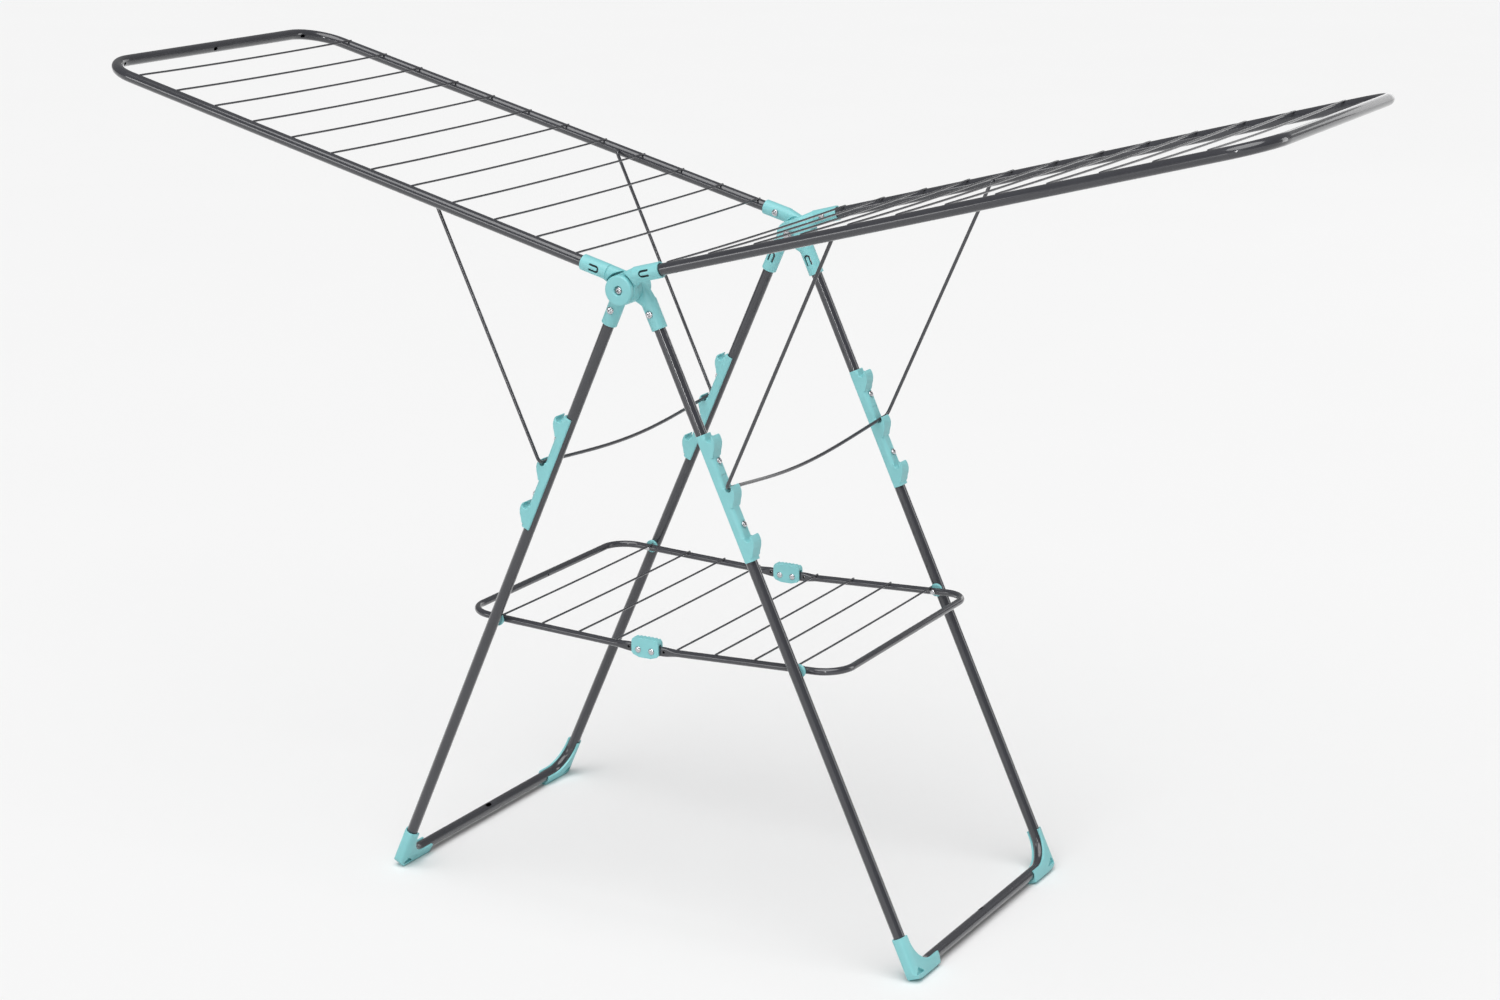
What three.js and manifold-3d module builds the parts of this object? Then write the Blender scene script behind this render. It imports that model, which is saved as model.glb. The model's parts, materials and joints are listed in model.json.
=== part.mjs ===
// Folding gull-wing clothes airer: two U-shaped tube leg frames and two U-shaped
// tube wing frames with hanging wires, all turning about one front and one back
// hub bolt, two wire struts that hook into notched brackets on the legs, and a
// two-half folding shelf. Millimetres, +Z up, +X right, +Y to the back.
// Origin: on the floor, under the middle of the hub axis.
// The left side is the right side turned half a turn about Z, so both hubs use
// the same four moulded arms.
import * as THREE from 'three';
import { mergeVertices } from 'three/addons/utils/BufferGeometryUtils.js';
import { ConvexGeometry } from 'three/addons/geometries/ConvexGeometry.js';
import Module from 'manifold-3d';
const wasm = await Module();
wasm.setup();

// ---------------------------------------------------------------- dimensions
const HUB_Z = 904;            // hub axis above the floor
const LEG_ANGLE = 65.62;      // leg direction below horizontal, degrees
const WING_ANGLE = 14.83;     // wing direction above horizontal, degrees
const FRAME_R = 8;            // 16 mm frame tube
const FRAME_BORE = 7.1;
const FIT = 0.35;             // gap left around a tube in its mouldings
const LEG_Y = 218.24;         // leg tube centre planes, front and back
const LEG_OFF = 13.33;        // leg tube centre, out from the hub axis
const LEG_END = 983.2;        // hub axis to cross tube, along the leg
const LEG_BEND = 42;
const WING_Y = 246.14;        // wing tube centre planes
const WING_OFF = 15.2;        // wing tube centre, above the hub axis
const WING_END = 910.2;
const WING_BEND = 58;
const TUBE_START = 30;        // where a tube begins inside its hub arm
const WIRE_R = 1.5;
const WIRE_PITCH = 69.34;
const WIRE_S = [79, ...Array.from({ length: 11 }, (_, i) => 74.2 + WIRE_PITCH * (i + 1))];
const WIRE_SAG = 2;           // wires hang a little at mid span
const WIRE_LIFT = 7.9;        // wire centre above the tube centre
const WIRE_OVER = 2.4;        // wire end past the tube centre line
const SHELF_R = 5;            // 10 mm shelf tube
const SHELF_BORE = 4.2;
const SHELF_Y = 200.5;
const SHELF_PIVOT_S = 555;    // shelf pivot, along the leg from the hub axis
const SHELF_RIVET_X = 10.5;   // centre link rivets, either side of the middle
const SHELF_RIVET_Z = -509.5; // below the hub axis
const SHELF_END = 298.4;      // middle of the object to the shelf's end tube
const SHELF_BEND = 38;
const SHELF_WIRES = [49.5, 109.5, 170.7, 236.4];
const SHELF_WIRE_LIFT = 5.5;
const STRUT_R = 2.5;
const STRUT_Y = 233.6;
const STRUT_PIVOT_S = 322;    // strut hole in the wing tube
const STRUT_CORNER = 8.5;
const STRUT_BOW = { right: 20, left: 12.5 };  // each crossbar is bowed by hand, so they differ
const NOTCH_S = [223.5, 294.2, 364.9];
const NOTCH_Q = 13.8;         // notch centre, out from the leg tube centre
const SOCKET_R = 10.9;
const SOCKET_END = 66;
const DISC_R = 20.5;
const CLEAR_R = 23.6;         // the arms keep outside this radius off their own layer
const BOLT_R = 4;
// hub layers, as distance from the middle plane
const WING_OUTER = [238.3, 249.2];
const WING_INNER = [229.6, 238.0];
const LEG_OUTER = [218.2, 229.3];
const LEG_INNER = [207.0, 217.9];
const CAP = [249.5, 258.6];
const NUT = [200.6, 206.7];

const rad = THREE.MathUtils.degToRad;

// ---------------------------------------------------------------- materials
const steel = () => new THREE.MeshStandardMaterial({ color: 0x4b4c50, roughness: 0.36, metalness: 0.35 });
const plastic = () => new THREE.MeshStandardMaterial({ color: 0x84cccb, roughness: 0.48, metalness: 0.0 });
const chrome = () => new THREE.MeshStandardMaterial({ color: 0xd4d5d8, roughness: 0.16, metalness: 1.0 });

// ---------------------------------------------------------------- solids
function toSolid(geometry) {
  let g = geometry.index ? geometry.toNonIndexed() : geometry.clone();
  g.deleteAttribute('normal');
  if (g.attributes.uv) g.deleteAttribute('uv');
  g = mergeVertices(g, 1e-4);
  const mesh = new wasm.Mesh({
    numProp: 3,
    vertProperties: new Float32Array(g.attributes.position.array),
    triVerts: new Uint32Array(g.index.array),
  });
  return new wasm.Manifold(mesh);
}
function fromSolid(solid) {
  const mesh = solid.getMesh();
  const g = new THREE.BufferGeometry();
  g.setAttribute('position', new THREE.BufferAttribute(new Float32Array(mesh.vertProperties), 3));
  g.setIndex(new THREE.BufferAttribute(new Uint32Array(mesh.triVerts), 1));
  g.computeVertexNormals();
  return g;
}
const join = (list) => list.reduce((a, b) => a.add(b));
const cut = (body, list) => list.reduce((a, b) => a.subtract(b), body);

function barY(r, y0, y1, x, z, n = 12) {
  const g = new THREE.CylinderGeometry(r, r, Math.abs(y1 - y0), n);
  g.translate(x, (y0 + y1) / 2, z);
  return toSolid(g);
}
function barX(r, x0, x1, y, z, n = 12, r1 = r) {
  const g = new THREE.CylinderGeometry(r1, r, Math.abs(x1 - x0), n);
  g.rotateZ(-Math.PI / 2);
  g.translate((x0 + x1) / 2, y, z);
  return toSolid(g);
}
function barZ(r, z0, z1, x, y, n = 8) {
  const g = new THREE.CylinderGeometry(r, r, Math.abs(z1 - z0), n);
  g.rotateX(Math.PI / 2);
  g.translate(x, y, (z0 + z1) / 2);
  return toSolid(g);
}
// outline given as (x, z), pushed along y from y0 to y1
function slabY(points, y0, y1) {
  const g = new THREE.ExtrudeGeometry(new THREE.Shape(points.map(([a, b]) => new THREE.Vector2(a, b))),
    { depth: y1 - y0, bevelEnabled: false, steps: 1 });
  g.rotateX(Math.PI / 2);
  g.translate(0, y1, 0);
  return toSolid(g);
}
// outline given as (x, y), pushed along z
function slabZ(points, z0, z1) {
  const g = new THREE.ExtrudeGeometry(new THREE.Shape(points.map(([a, b]) => new THREE.Vector2(a, b))),
    { depth: z1 - z0, bevelEnabled: false, steps: 1 });
  g.translate(0, 0, z0);
  return toSolid(g);
}
// outline given as (y, z), pushed along x
function slabX(points, x0, x1) {
  const g = new THREE.ExtrudeGeometry(new THREE.Shape(points.map(([a, b]) => new THREE.Vector2(a, b))),
    { depth: x1 - x0, bevelEnabled: false, steps: 1 });
  g.applyMatrix4(new THREE.Matrix4().set(0, 0, 1, x0, 1, 0, 0, 0, 0, 1, 0, 0, 0, 0, 0, 1));
  return toSolid(g);
}
// a turned piece: profile of (radius, height) with the axis along +Z, then aimed along dir at p
function turned(profile, n, p, dir) {
  const g = new THREE.LatheGeometry(profile.map(([r, h]) => new THREE.Vector2(r, h)), n);
  const q = new THREE.Quaternion().setFromUnitVectors(new THREE.Vector3(0, 1, 0), dir.clone().normalize());
  g.applyQuaternion(q);
  g.translate(p.x, p.y, p.z);
  const s = toSolid(g);
  return s.volume() > 0 ? s : toSolid(flipped(g));
}
function flipped(g) {
  const n = g.toNonIndexed ? (g.index ? g.toNonIndexed() : g) : g;
  const a = n.attributes.position;
  for (let i = 0; i < a.count; i += 3) {
    const x = a.getX(i), y = a.getY(i), z = a.getZ(i);
    a.setXYZ(i, a.getX(i + 1), a.getY(i + 1), a.getZ(i + 1));
    a.setXYZ(i + 1, x, y, z);
  }
  return n;
}

// ---------------------------------------------------------------- bent tubes
class StationPath extends THREE.Curve {
  constructor(stations) { super(); this.stations = stations; }
  pick(u) { return this.stations[Math.round(u * (this.stations.length - 1))]; }
  getPoint(t, target = new THREE.Vector3()) { return target.copy(this.pick(t).p); }
  getPointAt(u, target = new THREE.Vector3()) { return target.copy(this.pick(u).p); }
  getTangentAt(u, target = new THREE.Vector3()) { return target.copy(this.pick(u).t); }
}
const V = (x, y, z) => new THREE.Vector3(x, y, z);
// straight runs with round corners, as stations of a point and a direction
function stationsOf(points, radii, steps) {
  const out = [];
  const dir = (a, b) => b.clone().sub(a).normalize();
  out.push({ p: points[0].clone(), t: dir(points[0], points[1]) });
  for (let i = 1; i < points.length - 1; i++) {
    const d1 = dir(points[i - 1], points[i]), d2 = dir(points[i], points[i + 1]);
    const turn = d1.angleTo(d2), r = radii[i - 1];
    if (!r) { out.push({ p: points[i].clone(), t: d1.clone().add(d2).normalize() }); continue; }
    const start = points[i].clone().addScaledVector(d1, -r * Math.tan(turn / 2));
    const n = d2.clone().addScaledVector(d1, -d1.dot(d2)).normalize();
    for (let k = 0; k <= steps; k++) {
      const a = turn * k / steps;
      out.push({
        p: start.clone().addScaledVector(d1, r * Math.sin(a)).addScaledVector(n, r * (1 - Math.cos(a))),
        t: d1.clone().multiplyScalar(Math.cos(a)).addScaledVector(n, Math.sin(a)),
      });
    }
  }
  const m = points.length;
  out.push({ p: points[m - 1].clone(), t: dir(points[m - 2], points[m - 1]) });
  return out;
}
function ring(r, n, phase = 0.5) {
  return Array.from({ length: n }, (_, i) => {
    const a = 2 * Math.PI * (i + phase) / n;
    return new THREE.Vector2(r * Math.cos(a), r * Math.sin(a));
  });
}
function sweep(stations, rOut, rIn, n, nIn = 6) {
  const shape = new THREE.Shape(ring(rOut, n));
  if (rIn) shape.holes.push(new THREE.Path(ring(rIn, nIn).reverse()));
  const g = new THREE.ExtrudeGeometry(shape, { extrudePath: new StationPath(stations), steps: stations.length - 1 });
  const s = toSolid(g);
  return s.volume() > 0 ? s : toSolid(flipped(g));
}
// a wire along y at (x, z), straight over the tubes and hanging by sag in the middle
function wire(x, y, z, sag) {
  return sweep(stationsOf([V(x, -y, z), V(x, -y * 0.94, z), V(x, -y * 0.4, z - sag * 0.85), V(x, 0, z - sag), V(x, y * 0.4, z - sag * 0.85), V(x, y * 0.94, z), V(x, y, z)], [0, 0, 0, 0, 0], 1), WIRE_R, 0, 6);
}

// ---------------------------------------------------------------- leg frame (arm frame: X down the leg, Z outward)
const legPoints = (s0) => [V(s0, -LEG_Y, LEG_OFF), V(LEG_END, -LEG_Y, LEG_OFF), V(LEG_END, LEG_Y, LEG_OFF), V(s0, LEG_Y, LEG_OFF)];
const legSweep = (r, s0 = TUBE_START, bore = 0) => sweep(stationsOf(legPoints(s0), [LEG_BEND, LEG_BEND], 5), r, bore, 12, 8);
const SCREW_S = 43.5;
const BRACKET_SCREW_S = [255.5, 345.5];
// slot outline in Y and Z, a by b half sizes, with cut corners
const slot = (y, z, a, b, c = b * 0.6) => [[y - a, z - b + c], [y - a + c, z - b], [y + a - c, z - b], [y + a, z - b + c],
  [y + a, z + b - c], [y + a - c, z + b], [y - a + c, z + b], [y - a, z + b - c]];
function legFrame() {
  const holes = [];
  for (const f of [-1, 1]) {
    holes.push(barY(2.25, f * (LEG_Y + 4), f * (LEG_Y + 10), SCREW_S, LEG_OFF, 8));
    for (const s of BRACKET_SCREW_S) holes.push(barZ(2.0, LEG_OFF + 4, LEG_OFF + 10, s, f * LEG_Y, 8));
    holes.push(barY(2.3, f * (LEG_Y - 10), f * (LEG_Y - 4), SHELF_PIVOT_S, LEG_OFF, 8));
  }
  // drain slot in the upper side of the cross tube
  holes.push(slabX(slot(0, LEG_OFF, 6.4, 3.2), LEG_END - 10, LEG_END - 4));
  return cut(legSweep(FRAME_R, TUBE_START, FRAME_BORE), holes);
}

// ---------------------------------------------------------------- wing frame (X out along the wing, Z up off it)
const wingPoints = (s0) => [V(s0, -WING_Y, WING_OFF), V(WING_END, -WING_Y, WING_OFF), V(WING_END, WING_Y, WING_OFF), V(s0, WING_Y, WING_OFF)];
const wingSweep = (r, s0 = TUBE_START, bore = 0) => sweep(stationsOf(wingPoints(s0), [WING_BEND, WING_BEND], 5), r, bore, 12, 8);
function wingFrame() {
  const parts = [wingSweep(FRAME_R, TUBE_START, FRAME_BORE)];
  for (const s of WIRE_S) parts.push(wire(s, WING_Y + WIRE_OVER, WING_OFF + WIRE_LIFT, WIRE_SAG));
  const holes = [];
  for (const f of [-1, 1]) {
    holes.push(barY(2.25, f * (WING_Y - 10), f * (WING_Y - 4), SCREW_S, WING_OFF, 8));
    holes.push(barY(2.95, f * (WING_Y - 10), f * (WING_Y - 4), STRUT_PIVOT_S, WING_OFF, 10));
  }
  // drain slots in the inner side of the end tube, one in the middle and one at each bend
  holes.push(slabX(slot(0, WING_OFF, 4.2, 2.6), WING_END - 10, WING_END - 4));
  for (const f of [-1, 1]) holes.push(slabX(slot(f * 206, WING_OFF, 4.0, 2.4), WING_END - 17, WING_END - 7.5));
  return cut(join(parts), holes);
}

// ---------------------------------------------------------------- hub arms (both frames)
// f: -1 front, 1 back in the arm frame; mid: tube plane; off: tube offset; layer: disc span;
// slotOut: the snap slot is on the outward face and the screw on the inward one
function hubArm(f, mid, off, layer, slotOut, sweepCut) {
  const span = (a, b) => [Math.min(f * a, f * b), Math.max(f * a, f * b)];
  const [k0, k1] = span(layer[0], layer[1]);
  const disc = barY(DISC_R, k0, k1, 0, 0, 28);
  // neck: from a smaller circle of the disc to the mouth of the socket
  const pts = [];
  for (let i = 0; i < 16; i++) {
    const a = 2 * Math.PI * i / 16;
    for (const y of [k0, k1]) pts.push(V(15.5 * Math.cos(a), y, 4.6 + 15.5 * Math.sin(a)));
  }
  for (let i = 0; i < 12; i++) {
    const a = 2 * Math.PI * (i + 0.5) / 12;
    pts.push(V(29, f * mid + SOCKET_R * Math.cos(a), off + SOCKET_R * Math.sin(a)));
  }
  const neck = toSolid(new ConvexGeometry(pts));
  const socket = barX(SOCKET_R, 26, SOCKET_END, f * mid, off, 16);
  let body = disc.add(neck).add(socket);
  // clear the discs of the other layers
  const below = span(180, layer[0] - 0.02), above = span(layer[1] + 0.02, 280);
  const ringBelow = barY(CLEAR_R, below[0], below[1], 0, 0, 28);
  const ringAbove = barY(CLEAR_R, above[0], above[1], 0, 0, 28);
  body = cut(body, [ringBelow, ringAbove, barY(BOLT_R + 0.35, k0 - 2, k1 + 2, 0, 0, 12), sweepCut]);
  // U-shaped snap slot on one face, screw hole in the other
  const u = [];
  const r1 = 4.5, r0 = 2.3, c = 40.5, e = 51;
  u.push([e, off + r1]);
  for (let i = 0; i <= 6; i++) { const a = Math.PI / 2 + Math.PI * i / 6; u.push([c + r1 * Math.cos(a), off + r1 * Math.sin(a)]); }
  u.push([e, off - r1], [e, off - r0]);
  for (let i = 6; i >= 0; i--) { const a = Math.PI / 2 + Math.PI * i / 6; u.push([c + r0 * Math.cos(a), off + r0 * Math.sin(a)]); }
  u.push([e, off + r0]);
  const outS = span(mid + 5, mid + 13), inS = span(mid - 13, mid - 5);
  const us = slotOut ? outS : inS, ss = slotOut ? inS : outS;
  return cut(body, [slabY(u, us[0], us[1]), barY(2.25, ss[0], ss[1], SCREW_S, off, 8)]);
}

// pan-head screw: head base at p, head towards dir
const screw = (p, dir, head = 5.1, shank = 1.85, len = 6.5) =>
  turned([[0, -len], [shank, -len], [shank, 0], [head, 0], [head, 0.9], [head * 0.72, 2.3], [0, 2.8]], 10, p, dir);

// ---------------------------------------------------------------- notched bracket on the leg
function bracket(f) {
  const y = f * LEG_Y, hw = 10.8, q = (v) => LEG_OFF + v;
  const body = slabX([
    [y - hw, q(-4)], [y - hw, q(6.6)], [y - hw + 3.6, q(10.4)], [y + hw - 3.6, q(10.4)], [y + hw, q(6.6)], [y + hw, q(-4)],
  ].reverse(), 216, 395.5);
  const parts = [body];
  for (const n of NOTCH_S) {
    const end = n + 26;
    parts.push(slabY([
      [n - 2.2, q(18.1)], [n - 1.4, q(19.8)], [n + 3, q(20.8)], [n + 9, q(20.2)], [n + 15, q(17.6)], [n + 20, q(13.6)],
      [end, q(10.2)], [end, q(6.5)], [n - 2.2, q(6.5)],
    ], y - hw, y + hw));
  }
  const cuts = [legSweep(FRAME_R + FIT, 100)];
  for (const n of NOTCH_S) {
    cuts.push(slabY([
      [n - 20, q(9.7)], [n + 1.9, q(9.7)], [n + 4.1, q(11.4)], [n + 4.8, q(13.9)], [n + 4.1, q(16.4)], [n + 1.9, q(18.1)], [n - 20, q(18.1)],
    ], y - hw - 1, y + hw + 1));
  }
  for (const s of BRACKET_SCREW_S) cuts.push(barZ(2.0, q(7), q(12), s, y, 8));
  return cut(join(parts), cuts);
}

// ---------------------------------------------------------------- corner foot
function foot(f) {
  const q0 = LEG_OFF, cs = LEG_END - LEG_BEND, cv = LEG_Y - LEG_BEND, ri = LEG_BEND - 4.5;
  const out = [[934, 229], [983, 229], [988.5, 227], [993, 222.5], [995.4, 216], [996, 208], [996, 157]];
  const inner = [];
  for (let i = 0; i <= 6; i++) {
    const a = (Math.PI / 2) * i / 6;
    inner.push([cs + ri * Math.sin(a), cv + ri * Math.cos(a)]);
  }
  const outline = [...out, [cs + ri, 157], ...inner.reverse(), [934, cv + ri]];
  const pts = outline.map(([s, v]) => [s, f * v]);
  const body = slabZ(pts, q0 - 10.4, q0 + 10.4);
  const p1 = slabY([[900, q0 - 10.4], [985, q0 - 10.4], [998, q0 - 8.6], [998, q0 + 7], [984, q0 + 10.4], [900, q0 + 10.4]], -260, 260);
  const p2 = slabX([[-229.1, q0 - 6.6], [-219, q0 - 10.4], [219, q0 - 10.4], [229.1, q0 - 6.6], [229.1, q0 + 6.6], [219, q0 + 10.4], [-219, q0 + 10.4], [-229.1, q0 + 6.6]].reverse(), 900, 1010);
  return cut(body.intersect(p1).intersect(p2), [legSweep(FRAME_R + FIT, 900)]);
}

// ---------------------------------------------------------------- strut (X from its pivot to the notch)
const legDir = [Math.cos(rad(LEG_ANGLE)), -Math.sin(rad(LEG_ANGLE))];
const legOut = [Math.sin(rad(LEG_ANGLE)), Math.cos(rad(LEG_ANGLE))];
const wingDir = [Math.cos(rad(WING_ANGLE)), Math.sin(rad(WING_ANGLE))];
const wingUp = [-Math.sin(rad(WING_ANGLE)), Math.cos(rad(WING_ANGLE))];
const strutPivot = [0, 1].map((i) => STRUT_PIVOT_S * wingDir[i] + WING_OFF * wingUp[i]);
const notchAt = [0, 1].map((i) => NOTCH_S[1] * legDir[i] + (LEG_OFF + NOTCH_Q) * legOut[i]);
const strutVec = [notchAt[0] - strutPivot[0], notchAt[1] - strutPivot[1]];
const STRUT_LEN = Math.hypot(...strutVec);
const STRUT_AIM = Math.atan2(strutVec[1], strutVec[0]);
function strut(bow) {
  const bar = (y) => { const u = y / LEG_Y; return STRUT_LEN + bow * (1 - u * u) * (1 - 0.44 * u * u); };
  const half = [];
  // hook into the wing tube, rod, corner
  const hook = stationsOf([V(0, -244, 0), V(0, -STRUT_Y, 0), V(120, -STRUT_Y, 0)], [5], 3);
  hook.pop();
  half.push(...hook);
  const yb = STRUT_Y - STRUT_CORNER, x1 = bar(yb), d = 0.5;
  const slope = Math.atan2(bar(yb - d) - bar(yb + d), 2 * d);
  const turn = Math.PI / 2 - slope;
  const x0 = x1 - STRUT_CORNER * Math.sin(turn);
  for (let k = 0; k <= 4; k++) {
    const a = turn * k / 4;
    half.push({ p: V(x0 + STRUT_CORNER * Math.sin(a), -STRUT_Y + STRUT_CORNER * (1 - Math.cos(a)), 0), t: V(Math.cos(a), Math.sin(a), 0) });
  }
  const last = half[half.length - 1].p;
  const dy = -last.y, dx = bar(dy) - last.x;
  for (const y of [195, 160, 115, 62, 0]) {
    const t = V(-(bar(y + d) - bar(y - d)) / (2 * d), 1, 0).normalize();
    half.push({ p: V(bar(y) - dx * (y / dy), -y, 0), t });
  }
  const mirror = half.slice(0, -1).reverse().map(({ p, t }) => ({ p: V(p.x, -p.y, p.z), t: V(-t.x, t.y, -t.z) }));
  return sweep([...half, ...mirror], STRUT_R, 0, 8);
}

// ---------------------------------------------------------------- shelf (local frame: X out from the centre rivet, Z up)
const shelfPivot = [0, 1].map((i) => SHELF_PIVOT_S * legDir[i] + LEG_OFF * legOut[i]);
const shelfVec = [shelfPivot[0] - SHELF_RIVET_X, shelfPivot[1] - SHELF_RIVET_Z];
const SHELF_LEN = Math.hypot(...shelfVec);
const SHELF_TILT = Math.atan2(shelfVec[1], shelfVec[0]);
function shelfFrame() {
  const end = SHELF_END - SHELF_RIVET_X, x0 = -6;
  const pts = [V(x0, -SHELF_Y, 0), V(16, -SHELF_Y, 0), V(24, -SHELF_Y, 0), V(32, -SHELF_Y, 0), V(40, -SHELF_Y, 0), V(end, -SHELF_Y, 0),
    V(end, SHELF_Y, 0), V(40, SHELF_Y, 0), V(32, SHELF_Y, 0), V(24, SHELF_Y, 0), V(16, SHELF_Y, 0), V(x0, SHELF_Y, 0)];
  const radii = [0, 0, 0, 0, SHELF_BEND, SHELF_BEND, 0, 0, 0, 0];
  const shape = new THREE.Shape(ring(SHELF_R, 10));
  shape.holes.push(new THREE.Path(ring(SHELF_BORE, 6).reverse()));
  const st = stationsOf(pts, radii, 4);
  const g = new THREE.ExtrudeGeometry(shape, { extrudePath: new StationPath(st), steps: st.length - 1 });
  // the ends are pressed flat where the centre link takes them
  const a = g.attributes.position;
  for (let i = 0; i < a.count; i++) {
    const x = a.getX(i), y = a.getY(i), z = a.getZ(i);
    const k = THREE.MathUtils.smoothstep(40 - x, 0, 24);
    const yc = Math.sign(y) * SHELF_Y;
    if (k > 0) a.setXYZ(i, x, yc + (y - yc) * (1 - 0.5 * k), z * (1 + 0.4 * k));
  }
  let s = toSolid(g);
  if (s.volume() < 0) s = toSolid(flipped(g));
  const parts = [s];
  for (const w of SHELF_WIRES) {
    const x = w - SHELF_RIVET_X;
    parts.push(wire(x, SHELF_Y + 2.4, SHELF_WIRE_LIFT, 1));
  }
  const holes = [];
  for (const f of [-1, 1]) {
    holes.push(barY(2.4, f * (SHELF_Y - 8), f * (SHELF_Y + 8), 0, 0, 10));
    holes.push(barY(1.9, f * (SHELF_Y - 8), f * (SHELF_Y + 8), 17.5, 0, 10));
    holes.push(barY(2.4, f * (SHELF_Y - 8), f * (SHELF_Y + 8), SHELF_LEN, 0, 10));
  }
  holes.push(barX(1.3, end - 8, end - 3, 0, 0, 8));
  return cut(join(parts), holes);
}
function centreLink(f) {
  // block over both flattened tube ends, open below; local X across, Z up from the rivets
  const y0 = SHELF_Y - 6.4, y1 = SHELF_Y + 6.4;
  const [a, b] = f < 0 ? [-y1, -y0] : [y0, y1];
  const top = [];
  // finger ridges along the top edge
  for (let i = 0; i <= 12; i++) {
    const x = -18 + 3 * i;
    top.push([x, 15.2 + 2.1 * Math.sqrt(1 - (x / 26) ** 2) - (i % 2 ? 0.9 : 0)]);
  }
  const outline = [[-21.5, 11.5], ...top, [21.5, 11.5], [21.5, -4.5], [18.5, -8], [9, -10.9], [-9, -10.9], [-18.5, -8], [-21.5, -4.5]];
  let body = slabY(outline.reverse(), a, b);
  const s0 = f * (SHELF_Y - 2.95), s1 = f * (SHELF_Y + 2.95);
  const slot = slabY([[-30, -20], [30, -20], [30, 9.9], [-30, 9.9]], Math.min(s0, s1), Math.max(s0, s1));
  const holes = [slot];
  for (const x of [-SHELF_RIVET_X, SHELF_RIVET_X]) holes.push(barY(2.4, a - 2, b + 2, x, 0, 10));
  return cut(body, holes);
}
// link rivet: domed heads on both faces of the block
function linkRivet(f, x) {
  const h = 6.4 + 0.3, s = 2.0;
  return turned([[0, -h - 1.9], [3.1, -h - 1.3], [4.5, -h], [s, -h], [s, h], [4.5, h], [3.1, h + 1.3], [0, h + 1.9]], 10,
    V(x, f * SHELF_Y, 0), V(0, f, 0));
}

// ---------------------------------------------------------------- assembly
const group = new THREE.Group();
function put(parent, name, solid, material) {
  const m = new THREE.Mesh(fromSolid(solid), material);
  m.name = name;
  parent.add(m);
  return m;
}

for (const side of ['right', 'left']) {
  const half = new THREE.Group();
  half.position.set(0, 0, HUB_Z);
  half.rotation.z = side === 'right' ? 0 : Math.PI;
  group.add(half);
  const where = (f) => ((f < 0) === (side === 'right') ? 'front' : 'back');

  const leg = new THREE.Group();
  leg.rotation.y = rad(LEG_ANGLE);
  half.add(leg);
  put(leg, `${side}_leg_frame`, legFrame(), steel());
  // the feet are trimmed flat by the floor
  const toFloor = new THREE.Matrix4().makeRotationY(-rad(LEG_ANGLE));
  for (const f of [-1, 1]) {
    const w = where(f);
    const g = new THREE.BoxGeometry(400, 200, 40);
    g.translate(420, f * 200, -HUB_Z - 20);
    g.applyMatrix4(toFloor);
    put(leg, `${side}_${w}_foot`, foot(f).subtract(toSolid(g)), plastic());
    put(leg, `${side}_${w}_notch_bracket`, bracket(f), plastic());
    BRACKET_SCREW_S.forEach((s, i) => put(leg, `${side}_${w}_bracket_screw_${i + 1}`,
      screw(V(s, f * LEG_Y, LEG_OFF + 10.7), V(0, 0, 1), 4.7, 1.65, 5.2), chrome()));
    put(leg, `${side}_${w}_leg_hub_arm`, hubArm(f, LEG_Y, LEG_OFF, f < 0 ? LEG_OUTER : LEG_INNER, false, legSweep(FRAME_R + FIT, TUBE_START - 0.5)), plastic());
    put(leg, `${side}_${w}_leg_arm_screw`, screw(V(SCREW_S, f * (LEG_Y + SOCKET_R + 0.25), LEG_OFF), V(0, f, 0)), chrome());
    // shelf pivot: plastic spacer bush on the leg, rivet through bush and shelf tube
    const bush = barY(9.5, Math.min(f * 205.85, f * 209.9), Math.max(f * 205.85, f * 209.9), SHELF_PIVOT_S, LEG_OFF, 16)
      .subtract(barY(2.35, Math.min(f * 200, f * 215), Math.max(f * 200, f * 215), SHELF_PIVOT_S, LEG_OFF, 10));
    put(leg, `${side}_${w}_shelf_bush`, bush, plastic());
    const tail = side === 'left' ? 214 : 205.6;
    put(leg, `${side}_${w}_shelf_pivot_rivet`,
      turned([[0, 193.0], [2.6, 193.5], [3.8, 194.9], [2.0, 194.9], [2.0, tail], [0, tail]].map(([r, h]) => [r, h - 194.9]), 10,
        V(SHELF_PIVOT_S, f * 194.9, LEG_OFF), V(0, f, 0)), chrome());
  }

  const wing = new THREE.Group();
  wing.rotation.y = -rad(WING_ANGLE);
  half.add(wing);
  put(wing, `${side}_wing_frame`, wingFrame(), steel());
  for (const f of [-1, 1]) {
    const w = where(f);
    put(wing, `${side}_${w}_wing_hub_arm`, hubArm(f, WING_Y, WING_OFF, f < 0 ? WING_OUTER : WING_INNER, true, wingSweep(FRAME_R + FIT, TUBE_START - 0.5)), plastic());
    put(wing, `${side}_${w}_wing_arm_screw`, screw(V(SCREW_S, f * (WING_Y - SOCKET_R - 0.25), WING_OFF), V(0, -f, 0)), chrome());
  }

  const prop = new THREE.Group();
  prop.position.set(strutPivot[0], 0, strutPivot[1]);
  prop.rotation.y = -STRUT_AIM;
  half.add(prop);
  put(prop, `${side}_strut`, strut(STRUT_BOW[side]), steel());

  const shelf = new THREE.Group();
  shelf.position.set(SHELF_RIVET_X, 0, SHELF_RIVET_Z);
  shelf.rotation.y = -SHELF_TILT;
  half.add(shelf);
  put(shelf, `${side}_shelf_frame`, shelfFrame(), steel());
}

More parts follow.
